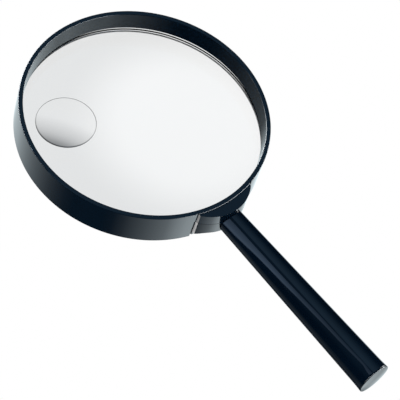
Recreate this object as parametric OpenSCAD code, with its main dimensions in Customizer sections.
// Hand-held reading magnifier: a thin ring holds a large flat-backed lens with a
// small stronger segment, and a tapered round handle stands on a boss at the
// ring's edge. It lies on the ring's rear face: z = 0 is the table, +Z points
// out of the front of the lens and +X runs along the handle. The origin is the
// centre of the whole footprint, on the table.

/* [Rim] */
// Outside diameter of the ring
rim_d = 92.5; // [88:0.5:100]
// Depth of the ring, from the table to the front lip
rim_depth = 14; // [13.5:0.5:18]
// Rounding of the lip's outer edge
lip_round = 0.4; // [0.2:0.05:0.5]
// Rounding of the lip's inner edge
lip_inner_round = 0.3; // [0.1:0.05:0.4]
// Draft of the lip's inner wall: how much narrower it is at the lens
lip_draft = 0.2; // [0:0.05:0.25]

/* [Lens] */
// Gap in radius between the rim's outside and the lens edge (wall and play)
lens_inset = 1.25; // [1.2:0.05:1.6]
// Thickness of the lens at its edge
lens_edge = 5.6; // [5.2:0.05:5.7]
// Radius of the domed front surface
lens_curve = 450; // [400:5:900]
// Depth of the fine groove round the lens edge
edge_groove = 0.35; // [0.1:0.05:0.4]
// Width of the shoulder in front of the lens edge
seat_w = 0.5; // [0.3:0.05:0.8]
// Radius of the small strong segment
segment_r = 10.85; // [8:0.05:12]
// Radius of the strong segment's surface
segment_curve = 49; // [40:1:80]
// Distance of the segment's centre from the lens axis
segment_offset = 28.3; // [20:0.1:31]
// Height of the small step round the segment
segment_step = 0.1; // [0:0.05:0.4]
// Angle of the segment round the lens, from the handle
segment_angle = -121.5; // [-180:0.1:180]

/* [Boss] */
// Plan radius of the boss's rounded outer wall
boss_arc_r = 16.65; // [16:0.05:18]
// Reach of the boss beyond the rim
boss_reach = 4.2; // [4:0.1:5]
// Half width of the boss across the handle
boss_half_w = 12; // [11.5:0.1:12.5]
// Width of the slot between the rim's cut edge and the boss
boss_slot = 1.05; // [0.6:0.05:1.5]
// Drop of the boss's front plate below the lip
boss_drop = 0.5; // [0.3:0.1:1]
// Height of the seam between the two boss halves
boss_seam_z = 8.9; // [8.7:0.1:9.4]
// Height of the boss's rear face at its outer end
boss_rear_z = 3.3; // [2.5:0.1:3.6]
// Height of the boss's rear face where it meets the rim
boss_root_z = 1.85; // [1:0.05:2.2]

/* [Handle] */
// Length of the handle, from the boss to the end cap's seam
handle_len = 76.25; // [60:0.25:100]
// Diameter of the handle at the boss
handle_front_d = 9.66; // [9:0.02:10]
// Diameter of the handle before its end flare
handle_body_d = 12.24; // [11:0.02:12.4]
// Diameter of the handle's flared end
handle_end_d = 12.66; // [12.4:0.02:13]
// Length of the flared end
flare_len = 4.8; // [3:0.1:8]
// Nominal wall thickness of the hollow handle
handle_wall = 1.5; // [1.2:0.1:1.6]
// Thickness of the web that closes the handle's front end
web_t = 4; // [3:0.1:6]

/* [End cap] */
// Thickness of the cap's flange at its edge
cap_t = 0.45; // [0.3:0.05:1]
// Rise of the cap's domed face
cap_dome = 0.55; // [0.3:0.05:1]
// Length of the cap's spigot inside the handle
cap_spigot = 7; // [5:0.5:12]

/* [Fasteners] */
// Thread radius of the handle screw
screw_r = 1.5; // [1.25:0.05:1.5]
// Head radius of the handle screw
screw_head_r = 2.75; // [2.4:0.05:2.8]
// Head height of the handle screw
screw_head_h = 2; // [1.5:0.1:2.4]
// Width across the flats of the square nut
nut_w = 5.5; // [5:0.1:5.6]
// Thickness of the square nut
nut_t = 1.8; // [1.5:0.1:1.8]
// Washer thickness
washer_t = 0.5; // [0.4:0.1:0.8]

/* [Hidden] */
$fn = 96;
large_fn = 180;     // facets of the large rounds
play = 0.03;        // clearance between parts that touch
screw_play = 0.1;   // radial play of the screw in the boss and the washer
lens_play = 0.08;   // radial play round the lens
lens_axial = 0.05;  // play of the lens along its axis
over = 1;           // how far cutters run past what they cut
cut_len = 10;       // generous length for cutters and bounds

// Ring and lens
rim_r = rim_d / 2;
axis_z = rim_depth / 2;  // height of the handle's axis
lens_r = rim_r - lens_inset;
lens_top = axis_z - 0.8;  // front of the lens edge
lens_bot = lens_top - lens_edge;
lens_sag = sag(lens_curve, lens_r);
dome_z = lens_top + lens_sag - lens_curve;  // centre of the lens's domed surface
frame_bore_r = lens_r + lens_play;
lip_in_r = lens_r - seat_w;
lip_base_r = lip_in_r - lip_draft;
seat_z = lens_top + lens_sag - sag(lens_curve, lip_base_r) + lens_axial;
rim_web_r = frame_bore_r + 0.72;  // outside of the rim wall left inside the boss
rebate_r = frame_bore_r + 0.52;   // rebate at the rim's back for the retaining ring

// Boss
boss_x = rim_r + boss_reach;
boss_in_x = rim_r - 8;  // where the boss's cutters and profile start
arc_x = boss_x - boss_arc_r;
plate_z = rim_depth - boss_drop;
slot_half = boss_half_w + boss_slot;
pocket_x = rim_r + 0.55;  // inner end of the nut's pocket
pocket_t = nut_t + 0.6;

// Handle and cap
handle_x0 = boss_x + play;
handle_x1 = handle_x0 + handle_len;
web_in_x = handle_x0 + web_t;
bore_r0 = handle_front_d / 2 - handle_wall + 0.1;
bore_r1 = handle_end_d / 2 - handle_wall - 0.15;
cap_x = handle_x1 + play;
cap_r = handle_end_d / 2;

// Shifts the ring so that the origin is the middle of the footprint
ring_x = -(cap_x + cap_t + cap_dome - rim_r) / 2;

// Depth of a spherical cap of surface radius curve and edge radius r
function sag(curve, r) = curve - sqrt(curve * curve - r * r);

// Points of an arc from angle start to angle end
function arc_points(centre, r, start, end, steps = 5) =
    [for (i = [0:steps])
        let (angle = start + (end - start) * i / steps)
        [centre[0] + r * cos(angle), centre[1] + r * sin(angle)]];

// Cylinder or cone along +X, starting at x, on the handle's axis
module rod(x, len, r, r2 = -1) {
    translate([x, 0, axis_z])
        rotate([0, 90, 0])
            cylinder(h = len, r1 = r, r2 = r2 < 0 ? r : r2, $fn = 96);
}

// Plan outline of the boss, from radius r_in outwards
module boss_plan(r_in) {
    difference() {
        intersection() {
            translate([arc_x, 0]) circle(r = boss_arc_r);
            translate([0, -boss_half_w]) square([boss_x + cut_len, 2 * boss_half_w]);
        }
        circle(r = r_in, $fn = large_fn);
    }
}

// Space for the nut, shared by both boss halves
module nut_pocket() {
    pocket_w = nut_w + 0.1;
    translate([pocket_x, -pocket_w / 2, axis_z - pocket_w / 2])
        cube([pocket_t, pocket_w, pocket_w]);
}

// Half section of the front moulding's ring, with its lens seat
module front_section() {
    rear_round = 0.25;
    polygon(concat(
        [[frame_bore_r, lens_bot], [rebate_r, lens_bot], [rebate_r, 0]],
        arc_points([rim_r - rear_round, rear_round], rear_round, -90, 0, 3),
        arc_points([rim_r - lip_round, rim_depth - lip_round], lip_round, 0, 90),
        arc_points([lip_in_r + lip_inner_round, rim_depth - lip_inner_round],
                   lip_inner_round, 90, 180),
        [[lip_base_r, seat_z], [frame_bore_r, seat_z]]));
}

// Opening in the skirt at the boss, up to the seam; the rim web stays
module skirt_opening() {
    difference() {
        translate([rim_r - 12, -slot_half, -over])
            cube([20, 2 * slot_half, boss_seam_z + over]);
        translate([0, 0, seat_z]) cylinder(h = boss_seam_z, r = rim_web_r, $fn = large_fn);
    }
}

// Slot beside the front half of the boss, from start_y towards +Y
module side_slot(start_y) {
    slot_depth = 0.25;  // how deep the slot cuts into the rim
    difference() {
        translate([boss_in_x, start_y, boss_seam_z - over]) cube([20, boss_slot, rim_depth]);
        cylinder(h = 2 * rim_depth, r = rim_r - slot_depth, $fn = large_fn);
    }
}

// Front moulding: lip, skirt, lens seat and the front half of the boss
module front_frame() {
    plate_overlap = 0.4;  // how far the boss plate runs into the rim web
    color([0.05, 0.08, 0.12]) translate([ring_x, 0, 0]) difference() {
        union() {
            difference() {
                rotate_extrude($fn = large_fn) front_section();
                skirt_opening();
                for (start_y = [-slot_half, boss_half_w]) side_slot(start_y);
            }
            translate([0, 0, boss_seam_z])
                linear_extrude(height = plate_z - boss_seam_z)
                    boss_plan(rim_web_r - plate_overlap);
        }
        nut_pocket();
    }
}

// Low ring in the rim's rebate
module retaining_ring() {
    ring_z0 = 0.1;
    ring_in_r = lens_r - 0.28;
    ring_out_r = rebate_r - 0.05;
    translate([0, 0, ring_z0]) difference() {
        cylinder(h = lens_bot - lens_axial - ring_z0, r = ring_out_r, $fn = large_fn);
        translate([0, 0, -over]) cylinder(h = rim_depth, r = ring_in_r, $fn = large_fn);
    }
}

// Curved band that joins the ring to the boss half
module boss_band() {
    band_z0 = 0.1;
    band_h = 4;
    translate([0, 0, band_z0]) linear_extrude(height = band_h) intersection() {
        difference() {
            circle(r = rim_web_r, $fn = large_fn);
            circle(r = frame_bore_r, $fn = large_fn);
        }
        translate([0, -boss_half_w]) square([boss_x, 2 * boss_half_w]);
    }
}

// Rear half of the boss: its rear face rises away from the rim
module rear_boss() {
    slope_x0 = rim_r - 1.6;
    slope_x1 = rim_r + 2.2;
    intersection() {
        union() {
            linear_extrude(height = seat_z - play) boss_plan(frame_bore_r);
            linear_extrude(height = boss_seam_z - play) boss_plan(rim_web_r + play);
        }
        rotate([90, 0, 0]) linear_extrude(height = 60, center = true)
            polygon([[boss_in_x, boss_root_z], [slope_x0, boss_root_z],
                     [slope_x1, boss_rear_z], [boss_x + over, boss_rear_z],
                     [boss_x + over, rim_depth], [boss_in_x, rim_depth]]);
    }
}

// Retaining ring behind the lens, with the rear half of the boss
module rear_frame() {
    color([0.07, 0.09, 0.12]) translate([ring_x, 0, 0]) difference() {
        union() {
            retaining_ring();
            boss_band();
            rear_boss();
        }
        nut_pocket();
        rod(pocket_x + 0.5, cut_len, screw_r + screw_play);
    }
}

// Flat-backed disc of the lens, with the V-groove round its edge
module lens_disc() {
    groove_z = lens_top - 2.95;  // front edge of the groove
    groove_half_w = 0.38;
    groove_back_z = groove_z - 2 * groove_half_w;
    difference() {
        translate([0, 0, lens_bot]) cylinder(h = lens_edge, r = lens_r, $fn = large_fn);
        rotate_extrude($fn = large_fn)
            polygon([[lens_r + over, groove_z + over], [lens_r, groove_z],
                     [lens_r - edge_groove, groove_z - groove_half_w],
                     [lens_r, groove_back_z], [lens_r + over, groove_back_z - over]]);
    }
}

// Domed front of the lens, sunk a little into the disc
module lens_dome() {
    intersection() {
        translate([0, 0, dome_z]) sphere(r = lens_curve, $fn = large_fn);
        translate([0, 0, lens_top - 0.5])
            cylinder(h = lens_sag + 5, r = lens_r, $fn = large_fn);
    }
}

// Strong segment: its axis stands square to the front surface
module lens_segment() {
    tilt = asin(segment_offset / lens_curve);
    bulge = sag(segment_curve, segment_r) - sag(lens_curve, segment_r);
    translate([0, 0, dome_z]) rotate([0, 0, segment_angle]) rotate([0, tilt, 0])
        intersection() {
            translate([0, 0, lens_curve + bulge + segment_step - segment_curve])
                sphere(r = segment_curve, $fn = large_fn);
            translate([0, 0, lens_curve - 2]) cylinder(h = 6, r = segment_r, $fn = 96);
        }
}

// Flat-backed lens with the stronger segment raised on its front face
module lens() {
    color([0.92, 0.95, 0.96, 0.45]) translate([ring_x, 0, 0]) union() {
        lens_disc();
        lens_dome();
        lens_segment();
    }
}

// Thin square nut, near the outer end of its pocket
module captive_nut() {
    nut_play = 0.02;  // at the pocket's end and round the thread
    color([0.72, 0.73, 0.75]) translate([ring_x, 0, 0]) difference() {
        translate([pocket_x + pocket_t - nut_t - nut_play, -nut_w / 2, axis_z - nut_w / 2])
            cube([nut_t, nut_w, nut_w]);
        rod(pocket_x - over, cut_len, screw_r + nut_play);
    }
}

// Machine screw: pan head with a cross recess inside the handle
module handle_screw() {
    head_x = web_in_x + washer_t + 2 * play;
    head_side_h = screw_head_h * 0.55;  // straight part of the head
    head_taper = 0.8;
    tip_x = pocket_x + 0.35;
    tip_taper = 0.4;
    overlap = 0.01;  // joins the shank to the head
    cross_depth = 1.1;
    cross_span = 3;
    cross_w = 0.6;
    color([0.78, 0.79, 0.81]) translate([ring_x, 0, 0]) difference() {
        union() {
            rod(tip_x + tip_taper, head_x - tip_x - tip_taper + overlap, screw_r);
            rod(tip_x, tip_taper, screw_r - tip_taper, screw_r);
            rod(head_x, head_side_h, screw_head_r);
            rod(head_x + head_side_h, screw_head_h - head_side_h,
                screw_head_r, screw_head_r - head_taper);
        }
        for (angle = [0, 90])
            translate([head_x + screw_head_h - cross_depth, 0, axis_z])
                rotate([angle, 0, 0])
                    translate([0, -cross_span / 2, -cross_w / 2])
                        cube([cross_span, cross_span, cross_w]);
    }
}

// Plain washer under the screw's head
module screw_washer() {
    washer_r = min(3.2, bore_r0 - 0.05);
    color([0.7, 0.71, 0.73]) translate([ring_x, 0, 0]) difference() {
        rod(web_in_x + play, washer_t, washer_r);
        rod(web_in_x - over, washer_t + 3, screw_r + screw_play);
    }
}

// Hollow tapered handle: its front end is cut as a saddle that fits the boss
module handle() {
    flare_x = handle_x1 - flare_len;
    body_x = handle_x0 - 1.6;  // starts inside the boss, for the saddle cut
    hole_lead = 3;             // start of the screw hole ahead of the handle
    bore_len = handle_x1 - web_in_x;
    bore_slope = (bore_r1 - bore_r0) / bore_len;
    color([0.04, 0.07, 0.11]) translate([ring_x, 0, 0]) difference() {
        union() {
            rod(body_x, flare_x - body_x, handle_front_d / 2, handle_body_d / 2);
            rod(flare_x, flare_len, handle_body_d / 2, handle_end_d / 2);
        }
        translate([arc_x, 0, -cut_len / 2])
            cylinder(h = rim_depth + cut_len, r = boss_arc_r + play, $fn = large_fn);
        // bore, open at the far end
        rod(web_in_x, bore_len + over, bore_r0, bore_r1 + bore_slope * over);
        rod(handle_x0 - hole_lead, web_t + hole_lead + over, screw_r + 0.15);
    }
}

// Half section of the end cap: r across, length along the handle up
module cap_section() {
    spigot_in_r = bore_r1 - 1.5;
    spigot_tip_r = bore_r1 - 0.35;
    spigot_root_r = bore_r1 - 0.05;
    root_len = 1;   // straight part of the spigot next to the flange
    overlap = 0.1;  // into the flange
    floor_t = 0.9;  // disc across the spigot, behind the flange
    edge_round = 0.2;
    dome_base_r = cap_r - 0.25;
    dome_r = (pow(dome_base_r, 2) + cap_dome * cap_dome) / (2 * cap_dome);
    union() {
        // hollow spigot, slightly tapered to enter the handle
        polygon([[spigot_in_r, -cap_spigot - play], [spigot_tip_r, -cap_spigot - play],
                 [spigot_root_r, -play - root_len], [spigot_root_r, overlap],
                 [spigot_in_r, overlap]]);
        translate([0, -floor_t]) square([bore_r1 - 1, floor_t + overlap]);
        // flange with a rounded edge
        square([cap_r, cap_t - edge_round]);
        translate([cap_r - edge_round, cap_t - edge_round]) circle(r = edge_round, $fn = 32);
        square([cap_r - edge_round, cap_t]);
        // domed face
        intersection() {
            translate([0, cap_t + cap_dome - dome_r]) circle(r = dome_r, $fn = large_fn);
            translate([0, cap_t - 0.2]) square([dome_base_r, 3]);
        }
    }
}

// Domed cap with a spigot in the handle's bore
module end_cap() {
    color([0.06, 0.09, 0.13])
        translate([ring_x + cap_x, 0, axis_z])
            rotate([0, 90, 0])
                rotate_extrude($fn = 120) cap_section();
}

front_frame();
rear_frame();
lens();
captive_nut();
handle_screw();
screw_washer();
handle();
end_cap();
